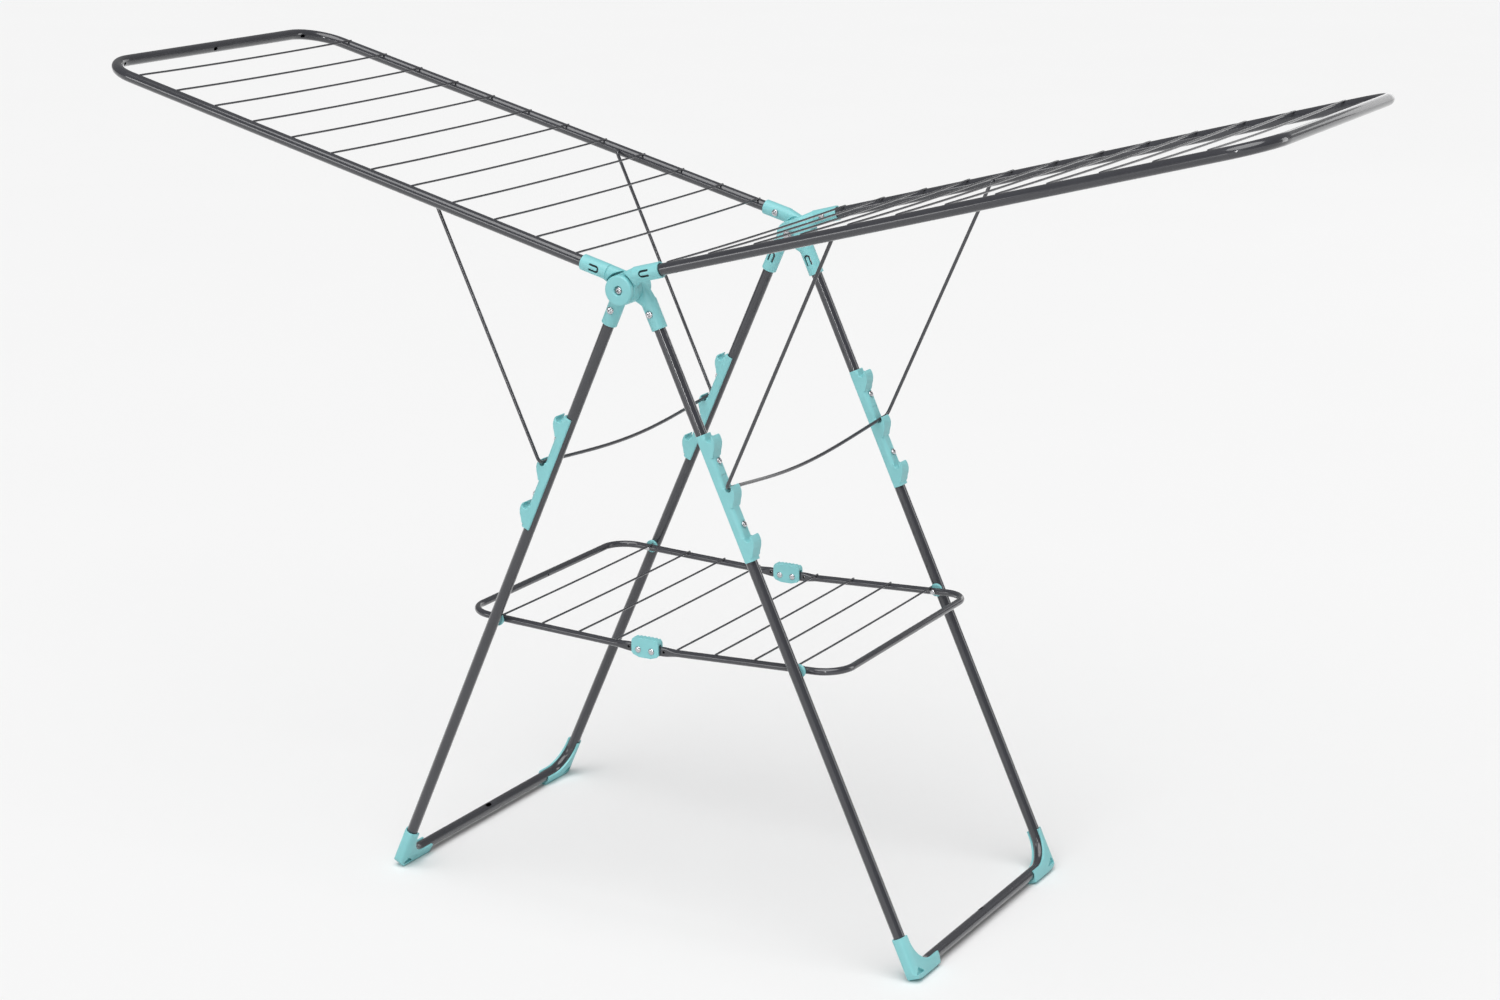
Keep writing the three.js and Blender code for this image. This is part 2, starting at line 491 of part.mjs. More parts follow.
const mid = new THREE.Group();
mid.position.set(0, 0, HUB_Z);
group.add(mid);
for (const f of [-1, 1]) {
  const w = f < 0 ? 'front' : 'back';
  const cap = turned([[BOLT_R + 0.4, 0], [19.2, 0], [20.2, 1.2], [20.2, 7.2], [18.6, 9.1], [6.4, 9.1], [6.0, 4.4], [BOLT_R + 0.4, 4.4], [BOLT_R + 0.4, 0]], 28,
    V(0, f * CAP[0], 0), V(0, f, 0));
  put(mid, `${w}_hub_cap`, cap, plastic());
  put(mid, `${w}_hub_bolt`, turned([[0, 198.6], [3.1, 198.6], [BOLT_R, 199.6], [BOLT_R, 254.3], [5.4, 254.3], [5.4, 255.6], [4.2, 257.2], [0, 257.9]], 12,
    V(0, 0, 0), V(0, f, 0)), chrome());
  put(mid, `${w}_hub_nut`, turned([[5.1, NUT[0]], [7.0, NUT[0]], [7.8, NUT[0] + 0.8], [7.8, NUT[1]], [5.1, NUT[1]], [5.1, NUT[0]]], 6,
    V(0, 0, 0), V(0, f, 0)), chrome());
  const link = new THREE.Group();
  link.position.set(0, 0, SHELF_RIVET_Z);
  mid.add(link);
  put(link, `${w}_shelf_link`, centreLink(f), plastic());
  put(link, `${w}_left_link_rivet`, linkRivet(f, -SHELF_RIVET_X), chrome());
  put(link, `${w}_right_link_rivet`, linkRivet(f, SHELF_RIVET_X), chrome());
}

export default group;
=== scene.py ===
import json, math
import bpy, bmesh
import numpy as np
from mathutils import Matrix, Vector


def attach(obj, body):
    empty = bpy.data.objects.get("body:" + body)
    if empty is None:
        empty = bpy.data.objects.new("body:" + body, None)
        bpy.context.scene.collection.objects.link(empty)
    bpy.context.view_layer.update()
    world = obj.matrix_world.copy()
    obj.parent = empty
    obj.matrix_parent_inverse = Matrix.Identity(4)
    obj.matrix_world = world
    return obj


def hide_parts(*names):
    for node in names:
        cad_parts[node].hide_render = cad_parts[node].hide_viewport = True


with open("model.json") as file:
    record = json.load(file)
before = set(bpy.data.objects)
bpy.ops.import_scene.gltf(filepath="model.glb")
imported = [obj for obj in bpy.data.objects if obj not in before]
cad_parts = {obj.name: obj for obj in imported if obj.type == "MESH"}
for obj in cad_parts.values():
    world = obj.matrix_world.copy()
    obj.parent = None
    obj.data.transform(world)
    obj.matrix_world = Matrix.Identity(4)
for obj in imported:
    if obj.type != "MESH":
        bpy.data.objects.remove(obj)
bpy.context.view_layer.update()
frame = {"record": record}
bpy.context.scene.view_settings.view_transform = "Standard"
bpy.context.scene.view_settings.look = "None"

# ------------------------------------------------------------------ sizes, mm
HUB_Z, LEG_ANGLE, WING_ANGLE = 904.0, 65.62, 14.83
LEG_Y, LEG_OFF, LEG_END, LEG_BEND = 218.24, 13.33, 983.2, 42.0
WING_Y, WING_OFF, WING_END, WING_BEND = 246.14, 15.2, 910.2, 58.0
TUBE_R, FIT, TUBE_START = 8.0, 0.3, 30.0
WIRE_R, WIRE_LIFT, WIRE_OVER, WIRE_SAG = 1.5, 7.9, 2.4, 2.0
WIRE_S = [79.0] + [74.2 + 69.34 * i for i in range(1, 12)]
SHELF_R, SHELF_Y, SHELF_PIVOT_S = 5.0, 200.5, 555.0
SHELF_RIVET_X, SHELF_RIVET_Z, SHELF_END, SHELF_BEND = 10.5, -509.5, 298.4, 38.0
SHELF_WIRES, SHELF_WIRE_LIFT = (49.5, 109.5, 170.7, 236.4), 5.5
STRUT_R, STRUT_Y, STRUT_PIVOT_S, STRUT_CORNER, STRUT_BOW = 2.5, 233.6, 322.0, 8.5, {"right": 20.0, "left": 12.5}
NOTCH_S, NOTCH_Q = (223.5, 294.2, 364.9), 13.8
SOCKET_R, SOCKET_END, DISC_R, CLEAR_R, BOLT_R = 10.9, 66.0, 20.5, 23.6, 4.0
WING_OUTER, WING_INNER = (238.3, 249.2), (229.6, 238.0)
LEG_OUTER, LEG_INNER = (218.2, 229.3), (207.0, 217.9)
CAP_Y, NUT_Y = 249.5, (200.6, 206.7)
SCREW_S, BRACKET_SCREW_S = 43.5, (255.5, 345.5)

T = Matrix.Translation
def R(deg, axis): return Matrix.Rotation(math.radians(deg), 4, axis)
def vec(x, y, z): return np.array([x, y, z], float)

leg_dir = (math.cos(math.radians(LEG_ANGLE)), -math.sin(math.radians(LEG_ANGLE)))
leg_out = (math.sin(math.radians(LEG_ANGLE)), math.cos(math.radians(LEG_ANGLE)))
wing_dir = (math.cos(math.radians(WING_ANGLE)), math.sin(math.radians(WING_ANGLE)))
wing_up = (-math.sin(math.radians(WING_ANGLE)), math.cos(math.radians(WING_ANGLE)))
strut_pivot = [STRUT_PIVOT_S * wing_dir[i] + WING_OFF * wing_up[i] for i in (0, 1)]
notch_at = [NOTCH_S[1] * leg_dir[i] + (LEG_OFF + NOTCH_Q) * leg_out[i] for i in (0, 1)]
strut_vec = [notch_at[i] - strut_pivot[i] for i in (0, 1)]
STRUT_LEN = math.hypot(*strut_vec)
STRUT_AIM = math.degrees(math.atan2(strut_vec[1], strut_vec[0]))
shelf_pivot = [SHELF_PIVOT_S * leg_dir[i] + LEG_OFF * leg_out[i] for i in (0, 1)]
shelf_vec = [shelf_pivot[0] - SHELF_RIVET_X, shelf_pivot[1] - SHELF_RIVET_Z]
SHELF_LEN = math.hypot(*shelf_vec)
SHELF_TILT = math.degrees(math.atan2(shelf_vec[1], shelf_vec[0]))

def half(side): return T((0, 0, HUB_Z)) @ R(0 if side == "right" else 180, "Z")
def arm_frame(kind, side):
    h = half(side)
    if kind == "leg": return h @ R(LEG_ANGLE, "Y")
    if kind == "wing": return h @ R(-WING_ANGLE, "Y")
    if kind == "strut": return h @ T((strut_pivot[0], 0, strut_pivot[1])) @ R(-STRUT_AIM, "Y")
    if kind == "shelf": return h @ T((SHELF_RIVET_X, 0, SHELF_RIVET_Z)) @ R(-SHELF_TILT, "Y")
    if kind == "hub": return T((0, 0, HUB_Z))
    if kind == "link": return T((0, 0, HUB_Z + SHELF_RIVET_Z))

# ------------------------------------------------------------------ mesh helpers (all in mm)
scene = bpy.context.scene
def make(verts, faces, name="tmp", normals=True):
    me = bpy.data.meshes.new(name)
    me.from_pydata([tuple(map(float, v)) for v in verts], [], [tuple(f) for f in faces])
    me.update()
    if normals:
        bm = bmesh.new(); bm.from_mesh(me)
        bmesh.ops.recalc_face_normals(bm, faces=bm.faces)
        bm.to_mesh(me); bm.free()
    ob = bpy.data.objects.new(name, me)
    scene.collection.objects.link(ob)
    return ob

def drop(*obs):
    for o in obs:
        me = o.data
        bpy.data.objects.remove(o)
        if me.users == 0: bpy.data.meshes.remove(me)

def settle(ob):
    dg = bpy.context.evaluated_depsgraph_get()
    me = bpy.data.meshes.new_from_object(ob.evaluated_get(dg))
    old = ob.data
    ob.modifiers.clear()
    ob.data = me
    if old.users == 0: bpy.data.meshes.remove(old)
    return ob

def boolean(ob, others, op="DIFFERENCE"):
    for c in others:
        m = ob.modifiers.new("b", "BOOLEAN")
        m.object, m.operation, m.solver = c, op, "EXACT"
    settle(ob)
    drop(*others)
    return ob

def soften(ob, voxel, smooth, keep=0.4):
    m = ob.modifiers.new("r", "REMESH"); m.mode = "VOXEL"; m.voxel_size = voxel
    m = ob.modifiers.new("s", "SMOOTH"); m.factor = 0.5; m.iterations = smooth
    if keep < 1:
        m = ob.modifiers.new("d", "DECIMATE"); m.ratio = keep
    return settle(ob)

def merged(obs, name="tmp"):
    bm = bmesh.new()
    for o in obs: bm.from_mesh(o.data)
    me = bpy.data.meshes.new(name); bm.to_mesh(me); bm.free()
    drop(*obs)
    ob = bpy.data.objects.new(name, me); scene.collection.objects.link(ob)
    return ob

def tube_along(axis, r, a, b, c, n=48, r1=None):
    """closed cylinder along an axis; c is its place across, in the other two axes in order"""
    r1 = r if r1 is None else r1
    vs, fs = [], []
    for t, rr in ((min(a, b), r), (max(a, b), r1)):
        for i in range(n):
            w = 2 * math.pi * i / n
            p, q = c[0] + rr * math.cos(w), c[1] + rr * math.sin(w)
            vs.append({"X": (t, p, q), "Y": (p, t, q), "Z": (p, q, t)}[axis])
    fs = [tuple(range(n)), tuple(range(2 * n - 1, n - 1, -1))]
    fs += [(i, (i + 1) % n, n + (i + 1) % n, n + i) for i in range(n)]
    return make(vs, fs)

def slab(axis, pts, a, b):
    n = len(pts); vs = []
    for t in (min(a, b), max(a, b)):
        for p, q in pts:
            vs.append({"X": (t, p, q), "Y": (p, t, q), "Z": (p, q, t)}[axis])
    fs = [tuple(range(n)), tuple(range(2 * n - 1, n - 1, -1))]
    fs += [(i, (i + 1) % n, n + (i + 1) % n, n + i) for i in range(n)]
    return make(vs, fs)

def block(lo, hi): return slab("Z", [(lo[0], lo[1]), (hi[0], lo[1]), (hi[0], hi[1]), (lo[0], hi[1])], lo[2], hi[2])

def hull(pts):
    bm = bmesh.new()
    for p in pts: bm.verts.new(p)
    out = bmesh.ops.convex_hull(bm, input=bm.verts)
    inside = [g for g in out["geom_interior"] if isinstance(g, bmesh.types.BMVert)]
    bmesh.ops.delete(bm, geom=inside, context="VERTS")
    loose = [v for v in bm.verts if not v.link_faces]
    bmesh.ops.delete(bm, geom=loose, context="VERTS")
    bmesh.ops.recalc_face_normals(bm, faces=bm.faces)
    me = bpy.data.meshes.new("hull"); bm.to_mesh(me); bm.free()
    ob = bpy.data.objects.new("hull", me); scene.collection.objects.link(ob)
    return ob

def lathe(profile, n, p, d, phase=0.0):
    """profile of (radius, height) along d from p; radius 0 closes on the axis"""
    d = Vector(d).normalized()
    q = Vector((0, 0, 1)).rotation_difference(d)
    rows, vs, fs = [], [], []
    for r, h in profile:
        if r <= 1e-6:
            rows.append([len(vs)]); vs.append((0, 0, h))
        else:
            rows.append(list(range(len(vs), len(vs) + n)))
            for i in range(n):
                w = 2 * math.pi * (i + phase) / n
                vs.append((r * math.cos(w), r * math.sin(w), h))
    for a, b in zip(rows, rows[1:]):
        if len(a) == 1 and len(b) == 1: continue
        for i in range(n):
            j = (i + 1) % n
            if len(a) == 1: fs.append((a[0], b[i], b[j]))
            elif len(b) == 1: fs.append((a[i], b[0], a[j]))
            else: fs.append((a[i], b[i], b[j], a[j]))
    if len(rows[0]) > 1 and profile[0] == profile[-1]:
        last, first = rows[-1], rows[0]
        swap = dict(zip(last, first))
        fs = [tuple(swap.get(k, k) for k in f) for f in fs]
    out = []
    for v in vs:
        w = q @ Vector(v)
        out.append((w.x + p[0], w.y + p[1], w.z + p[2]))
    ob = make(out, fs)
    bm = bmesh.new(); bm.from_mesh(ob.data)
    bmesh.ops.delete(bm, geom=[v for v in bm.verts if not v.link_faces], context="VERTS")
    bm.to_mesh(ob.data); bm.free()
    return ob

def fillet(profile, r, steps=4):
    """rounds the corners of an open profile by up to r"""
    out = [profile[0]]
    for a, b, c in zip(profile, profile[1:], profile[2:]):
        a, b, c = map(lambda t: np.array(t, float), (a, b, c))
        l1, l2 = np.linalg.norm(a - b), np.linalg.norm(c - b)
        k = min(r, l1 * 0.45, l2 * 0.45)
        p, q = b + (a - b) / l1 * k, b + (c - b) / l2 * k
        for i in range(steps + 1):
            t = i / steps
            out.append(tuple((1 - t) ** 2 * p + 2 * t * (1 - t) * b + t * t * q))
    out.append(profile[-1])
    return out

# paths: stations of (point, direction)
def stations(points, radii, steps):
    pts = [np.array(p, float) for p in points]
    unit = lambda v: v / np.linalg.norm(v)
    out = [(pts[0], unit(pts[1] - pts[0]))]
    for i in range(1, len(pts) - 1):
        d1, d2 = unit(pts[i] - pts[i - 1]), unit(pts[i + 1] - pts[i])
        turn, r = math.acos(max(-1, min(1, float(d1 @ d2)))), radii[i - 1]
        if not r:
            out.append((pts[i], unit(d1 + d2))); continue
        start = pts[i] - d1 * r * math.tan(turn / 2)
        n = unit(d2 - d1 * float(d1 @ d2))
        for k in range(steps + 1):
            a = turn * k / steps
            out.append((start + d1 * r * math.sin(a) + n * r * (1 - math.cos(a)), d1 * math.cos(a) + n * math.sin(a)))
    out.append((pts[-1], unit(pts[-1] - pts[-2])))
    return out

def sweep(sts, r, n=32, bore=None, squash=None, up=(0, 0, 1)):
    up = np.array(up, float)
    vs, fs = [], []
    radii = r if isinstance(r, (list, tuple)) else [r] * len(sts)
    def rings(rad, scale=None):
        base = len(vs)
        for (p, t), rr in zip(sts, rad):
            side = np.cross(t, up); side /= np.linalg.norm(side)
            for i in range(n):
                w = 2 * math.pi * (i + 0.5) / n
                v = p + rr * (math.cos(w) * side + math.sin(w) * up)
                vs.append(squash(v, p) if squash else v)
        return base
    m = len(sts)
    a = rings(radii)
    for k in range(m - 1):
        for i in range(n):
            j = (i + 1) % n
            fs.append((a + k * n + i, a + k * n + j, a + (k + 1) * n + j, a + (k + 1) * n + i))
    if bore:
        b = rings([bore] * m)
        for k in range(m - 1):
            for i in range(n):
                j = (i + 1) % n
                fs.append((b + k * n + j, b + k * n + i, b + (k + 1) * n + i, b + (k + 1) * n + j))
        for k in (0, m - 1):
            for i in range(n):
                j = (i + 1) % n
                fs.append((a + k * n + i, a + k * n + j, b + k * n + j, b + k * n + i))
    else:
        fs.append(tuple(a + i for i in range(n)))
        fs.append(tuple(a + (m - 1) * n + i for i in range(n - 1, -1, -1)))
    return make(vs, fs)

def wire(x, y, z, sag, n=12):
    """a wire along y, straight over the tubes and hanging a little in the middle, with rounded ends"""
    pts, rad, r = [], [], WIRE_R
    for back, k in ((0, 0.5), (0.12 * r, 0.72), (0.4 * r, 0.92), (r, 1.0)):
        pts.append((x, -y + back, z)); rad.append(r * k)
    inner = y * 0.94
    for u in np.linspace(-1, 1, 25):
        pts.append((x, inner * u, z - sag * (1 - abs(u) ** 2.2))); rad.append(r)
    for back, k in ((r, 1.0), (0.4 * r, 0.92), (0.12 * r, 0.72), (0, 0.5)):
        pts.append((x, y - back, z)); rad.append(r * k)
    return sweep(stations(pts, [0] * (len(pts) - 2), 1), rad, n)

def bead(p, rx, ry, rz):
    """weld spatter-free bead: a low rounded lump"""
    prof = [(0, -1), (0.5, -0.87), (0.87, -0.5), (1, 0), (0.87, 0.5), (0.5, 0.87), (0, 1)]
    ob = lathe(prof, 12, (0, 0, 0), (0, 0, 1))
    ob.data.transform(T(p) @ Matrix.Diagonal((rx, ry, rz, 1)))
    return ob

# ------------------------------------------------------------------ materials
def nodes_of(name):
    m = bpy.data.materials.new(name)
    m.use_nodes = True
    nt = m.node_tree
    return m, nt, nt.nodes["Principled BSDF"]

def noise(nt, coord, scale, detail=2.0, rough=0.5):
    n = nt.nodes.new("ShaderNodeTexNoise")
    n.inputs["Scale"].default_value = scale
    n.inputs["Detail"].default_value = detail
    n.inputs["Roughness"].default_value = rough
    nt.links.new(coord, n.inputs["Vector"])
    return n.outputs["Fac"]

def ramp(nt, fac, lo, hi, c0, c1):
    r = nt.nodes.new("ShaderNodeValToRGB")
    r.color_ramp.elements[0].position, r.color_ramp.elements[1].position = lo, hi
    r.color_ramp.elements[0].color, r.color_ramp.elements[1].color = (*c0, 1), (*c1, 1)
    nt.links.new(fac, r.inputs["Fac"])
    return r.outputs["Color"]

def span(nt, fac, a, b):
    m = nt.nodes.new("ShaderNodeMapRange")
    m.inputs["To Min"].default_value, m.inputs["To Max"].default_value = a, b
    nt.links.new(fac, m.inputs["Value"])
    return m.outputs["Result"]

def bump(nt, pairs, shader):
    prev = None
    for height, strength, dist in pairs:
        b = nt.nodes.new("ShaderNodeBump")
        b.inputs["Strength"].default_value = strength
        b.inputs["Distance"].default_value = dist
        nt.links.new(height, b.inputs["Height"])
        if prev: nt.links.new(prev, b.inputs["Normal"])
        prev = b.outputs["Normal"]
    nt.links.new(prev, shader.inputs["Normal"])

def powder_coat(name):
    m, nt, s = nodes_of(name)
    co = nt.nodes.new("ShaderNodeTexCoord").outputs["Object"]
    tone = noise(nt, co, 14, 3, 0.55)
    nt.links.new(ramp(nt, tone, 0.3, 0.7, (0.037, 0.038, 0.045), (0.046, 0.047, 0.055)), s.inputs["Base Color"])
    nt.links.new(span(nt, noise(nt, co, 60, 4, 0.6), 0.22, 0.30), s.inputs["Roughness"])
    s.inputs["Metallic"].default_value = 0.0
    s.inputs["IOR"].default_value = 1.52
    s.inputs["Specular IOR Level"].default_value = 0.25
    s.inputs["Coat Weight"].default_value = 1.0
    s.inputs["Coat Roughness"].default_value = 0.04
    bump(nt, [(noise(nt, co, 300, 1, 0.5), 0.008, 0.0002), (noise(nt, co, 2600, 1, 0.5), 0.02, 0.00004)], s)
    return m

def moulded(name):
    m, nt, s = nodes_of(name)
    co = nt.nodes.new("ShaderNodeTexCoord").outputs["Object"]
    tone = noise(nt, co, 22, 3, 0.5)
    nt.links.new(ramp(nt, tone, 0.3, 0.7, (0.236, 0.590, 0.612), (0.268, 0.640, 0.664)), s.inputs["Base Color"])
    nt.links.new(span(nt, noise(nt, co, 240, 4, 0.6), 0.36, 0.5), s.inputs["Roughness"])
    s.inputs["IOR"].default_value = 1.49
    s.inputs["Subsurface Weight"].default_value = 0.06
    s.inputs["Subsurface Radius"].default_value = (0.4, 0.9, 0.9)
    s.inputs["Subsurface Scale"].default_value = 0.002
    bump(nt, [(noise(nt, co, 90, 2, 0.5), 0.12, 0.0006), (noise(nt, co, 2300, 2, 0.6), 0.14, 0.00012)], s)
    return m

def plated(name):
    m, nt, s = nodes_of(name)
    tc = nt.nodes.new("ShaderNodeTexCoord").outputs["Object"]
    mp = nt.nodes.new("ShaderNodeMapping")
    mp.inputs["Scale"].default_value = (900, 900, 5000)
    nt.links.new(tc, mp.inputs["Vector"])
    fine = noise(nt, mp.outputs["Vector"], 1.0, 2, 0.5)
    nt.links.new(ramp(nt, noise(nt, tc, 500, 2), 0.3, 0.7, (0.47, 0.47, 0.49), (0.58, 0.58, 0.60)), s.inputs["Base Color"])
    s.inputs["Metallic"].default_value = 1.0
    nt.links.new(span(nt, fine, 0.12, 0.26), s.inputs["Roughness"])
    bump(nt, [(fine, 0.05, 0.00005)], s)
    return m

MAT = {"frame": powder_coat("frame_powder_coat"), "plastic": moulded("turquoise_moulding"), "screws": plated("plated_steel")}

BODY_OF = {}
for body, members in frame["record"]["behaviour"]["bodies"].items():
    for n in members: BODY_OF[n] = body

def finish(ob, node, kind, side, slot, mirror=False, smooth_angle=None):
    """places a piece built in an arm's own frame and hands it over"""
    m = arm_frame(kind, side)
    if mirror: m = m @ Matrix.Diagonal((1, -1, 1, 1))
    ob.data.transform(Matrix.Diagonal((0.001, 0.001, 0.001, 1)) @ m)
    if mirror: ob.data.flip_normals()
    ob.name = ob.data.name = node + "_look"
    if smooth_angle is None:
        ob.data.shade_smooth()
    else:
        ob.data.shade_smooth()
        ob.data.set_sharp_from_angle(angle=math.radians(smooth_angle))
    ob.data.materials.clear()
    ob.data.materials.append(MAT[slot])
    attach(ob, BODY_OF[node])
    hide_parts(node)
    return ob

def copy_of(ob):
    c = bpy.data.objects.new("copy", ob.data.copy())
    scene.collection.objects.link(c)
    return c

def put_all(master, places, **kw):
    """places: list of (node, kind, side, mirror); the last one takes the master itself"""
    for i, (node, kind, side, mirror) in enumerate(places):
        ob = master if i == len(places) - 1 else copy_of(master)
        finish(ob, node, kind, side, kw["slot"], mirror, kw.get("smooth_angle"))

def where(f, side): return "front" if (f < 0) == (side == "right") else "back"
SIDES = ("right", "left")

# ------------------------------------------------------------------ frames
def leg_path(s0=TUBE_START, steps=16):
    return stations([(s0, -LEG_Y, LEG_OFF), (LEG_END, -LEG_Y, LEG_OFF), (LEG_END, LEG_Y, LEG_OFF), (s0, LEG_Y, LEG_OFF)], [LEG_BEND, LEG_BEND], steps)
def wing_path(s0=TUBE_START, steps=16):
    return stations([(s0, -WING_Y, WING_OFF), (WING_END, -WING_Y, WING_OFF), (WING_END, WING_Y, WING_OFF), (s0, WING_Y, WING_OFF)], [WING_BEND, WING_BEND], steps)

def drain_slot(y, z, a, b, x0, x1):
    """slot with round ends, a by b half sizes across, cut along x"""
    pts = [(y + math.copysign(a - b, math.cos(w)) + b * math.cos(w), z + b * math.sin(w)) for w in np.linspace(0.01, 2 * math.pi + 0.01, 32, endpoint=False)]
    return slab("X", pts, x0, x1)

def leg_frame():
    tube = sweep(leg_path(), TUBE_R, 36, bore=7.0)
    return boolean(tube, [drain_slot(0, LEG_OFF, 6.4, 3.2, LEG_END - 10, LEG_END - 4)])

def wing_frame():
    tube = sweep(wing_path(), TUBE_R, 36, bore=7.0)
    holes = [drain_slot(0, WING_OFF, 4.2, 2.6, WING_END - 10, WING_END - 4)]
    for f in (-1, 1):
        holes.append(drain_slot(f * 206, WING_OFF, 4.0, 2.4, WING_END - 17, WING_END - 7.5))
        holes.append(tube_along("Y", 3.0, f * (WING_Y - 10), f * (WING_Y - 5), (STRUT_PIVOT_S, WING_OFF), 24))
    boolean(tube, holes)
    parts = [tube]
    for s in WIRE_S:
        z, y = WING_OFF + WIRE_LIFT, WING_Y + WIRE_OVER
        parts.append(wire(s, y, z, WIRE_SAG))
        for f in (-1, 1): parts.append(bead((s, f * (WING_Y - 1.2), z - 0.6), 2.5, 3.6, 1.15))
    return merged(parts)

def strut_rod(bow):
    def bar(y):
        u = y / LEG_Y
        return STRUT_LEN + bow * (1 - u * u) * (1 - 0.44 * u * u)
    hook = stations([(0, -244, 0), (0, -STRUT_Y, 0), (120, -STRUT_Y, 0)], [5], 8)[:-1]
    pts = list(hook)
    yb, d = STRUT_Y - STRUT_CORNER, 0.5
    slope = math.atan2(bar(yb - d) - bar(yb + d), 2 * d)
    turn = math.pi / 2 - slope
    x0 = bar(yb) - STRUT_CORNER * math.sin(turn)
    for k in range(9):
        a = turn * k / 8
        pts.append((vec(x0 + STRUT_CORNER * math.sin(a), -STRUT_Y + STRUT_CORNER * (1 - math.cos(a)), 0), vec(math.cos(a), math.sin(a), 0)))
    last = pts[-1][0]; dy = -last[1]; dx = bar(dy) - last[0]
    for y in np.linspace(208, 0, 17):
        t = vec(-(bar(y + d) - bar(y - d)) / (2 * d), 1, 0); t /= np.linalg.norm(t)
        pts.append((vec(bar(y) - dx * (y / dy), -y, 0), t))
    other = [(vec(p[0], -p[1], p[2]), vec(-t[0], t[1], -t[2])) for p, t in pts[:-1][::-1]]
    allp = pts + other
    rad = [STRUT_R] * len(allp)
    rad[0] = rad[-1] = STRUT_R * 0.8
    return sweep(allp, rad, 20)

def shelf_frame():
    end, x0 = SHELF_END - SHELF_RIVET_X, -6
    xs = [x0, 0, 8, 14, 16, 18, 20, 22, 24, 26, 28, 30, 32, 34, 36, 38, 40]
    pts = [(x, -SHELF_Y, 0) for x in xs] + [(end, -SHELF_Y, 0), (end, SHELF_Y, 0)] + [(x, SHELF_Y, 0) for x in reversed(xs)]
    radii = [0] * (len(xs) - 1) + [SHELF_BEND, SHELF_BEND] + [0] * (len(xs) - 1)
    def flat(v, p):
        k = min(1, max(0, (40 - v[0]) / 24)); k = k * k * (3 - 2 * k)
        yc = math.copysign(SHELF_Y, v[1])
        return vec(v[0], yc + (v[1] - yc) * (1 - 0.5 * k), v[2] * (1 + 0.4 * k))
    tube = sweep(stations(pts, radii, 14), SHELF_R, 28, bore=4.1, squash=flat)
    holes = []
    for f in (-1, 1):
        holes.append(tube_along("Y", 2.4, f * (SHELF_Y - 8), f * (SHELF_Y + 8), (0, 0), 24))
        holes.append(tube_along("Y", 1.9, f * (SHELF_Y - 8), f * (SHELF_Y + 8), (17.5, 0), 24))
        holes.append(tube_along("Y", 2.4, f * (SHELF_Y - 8), f * (SHELF_Y + 8), (SHELF_LEN, 0), 24))
    holes.append(tube_along("X", 1.5, end - 8, end - 3, (0, 0), 20))
    boolean(tube, holes)
    parts = [tube]
    for w in SHELF_WIRES:
        x, y = w - SHELF_RIVET_X, SHELF_Y + 2.4
        parts.append(wire(x, y, SHELF_WIRE_LIFT, 1.0))
        for f in (-1, 1): parts.append(bead((x, f * (SHELF_Y - 0.8), SHELF_WIRE_LIFT - 0.5), 2.2, 2.6, 1.0))
    return merged(parts)

put_all(leg_frame(), [(f"{s}_leg_frame", "leg", s, False) for s in SIDES], slot="frame", smooth_angle=40)
put_all(wing_frame(), [(f"{s}_wing_frame", "wing", s, False) for s in SIDES], slot="frame", smooth_angle=40)
for s in SIDES: finish(strut_rod(STRUT_BOW[s]), f"{s}_strut", "strut", s, "frame")
put_all(shelf_frame(), [(f"{s}_shelf_frame", "shelf", s, False) for s in SIDES], slot="frame", smooth_angle=40)

# ------------------------------------------------------------------ hub arms
def hub_arm(f, mid, off, layer, slot_out, path):
    lo, hi = sorted((f * layer[0], f * layer[1]))
    disc = tube_along("Y", DISC_R, lo, hi, (0, 0), 96)
    pts = []
    for i in range(64):
        a = 2 * math.pi * i / 64
        for y in (lo + 0.02, hi - 0.02): pts.append((15.5 * math.cos(a), y, 4.6 + 15.5 * math.sin(a)))
    for i in range(48):
        a = 2 * math.pi * i / 48
        pts.append((29, f * mid + (SOCKET_R - 0.02) * math.cos(a), off + (SOCKET_R - 0.02) * math.sin(a)))
    neck = hull(pts)
    socket = tube_along("X", SOCKET_R, 25.3, SOCKET_END, (f * mid, off), 64)
    body = boolean(disc, [neck, socket], "UNION")
    def span2(a, b): return sorted((f * a, f * b))
    b0, b1 = span2(150, layer[0] - 0.02)
    a0, a1 = span2(layer[1] + 0.02, 280)
    cuts = [tube_along("Y", CLEAR_R, b0, b1, (0, 0), 96), tube_along("Y", CLEAR_R, a0, a1, (0, 0), 96),
            tube_along("Y", BOLT_R + 0.35, lo - 2, hi + 2, (0, 0), 32)]
    cuts.append(tube_along("X", TUBE_R + FIT, TUBE_START - 0.5, 120, (f * mid, off), 48))
    r1, r0, c, e = 4.9, 2.1, 40.5, 51.5
    u = [(e, off + r1)]
    u += [(c + r1 * math.cos(a), off + r1 * math.sin(a)) for a in np.linspace(math.pi / 2, 1.5 * math.pi, 13)]
    u += [(e, off - r1), (e, off - r0)]
    u += [(c + r0 * math.cos(a), off + r0 * math.sin(a)) for a in np.linspace(1.5 * math.pi, math.pi / 2, 13)]
    u += [(e, off + r0)]
    o0, o1 = span2(mid + 5, mid + 13)
    i0, i1 = span2(mid - 13, mid - 5)
    us, ss = ((o0, o1), (i0, i1)) if slot_out else ((i0, i1), (o0, o1))
    cuts += [slab("Y", u, *us), tube_along("Y", 2.25, *ss, (SCREW_S, off), 24)]
    boolean(body, cuts)
    return soften(body, 0.45, 4, 0.35)

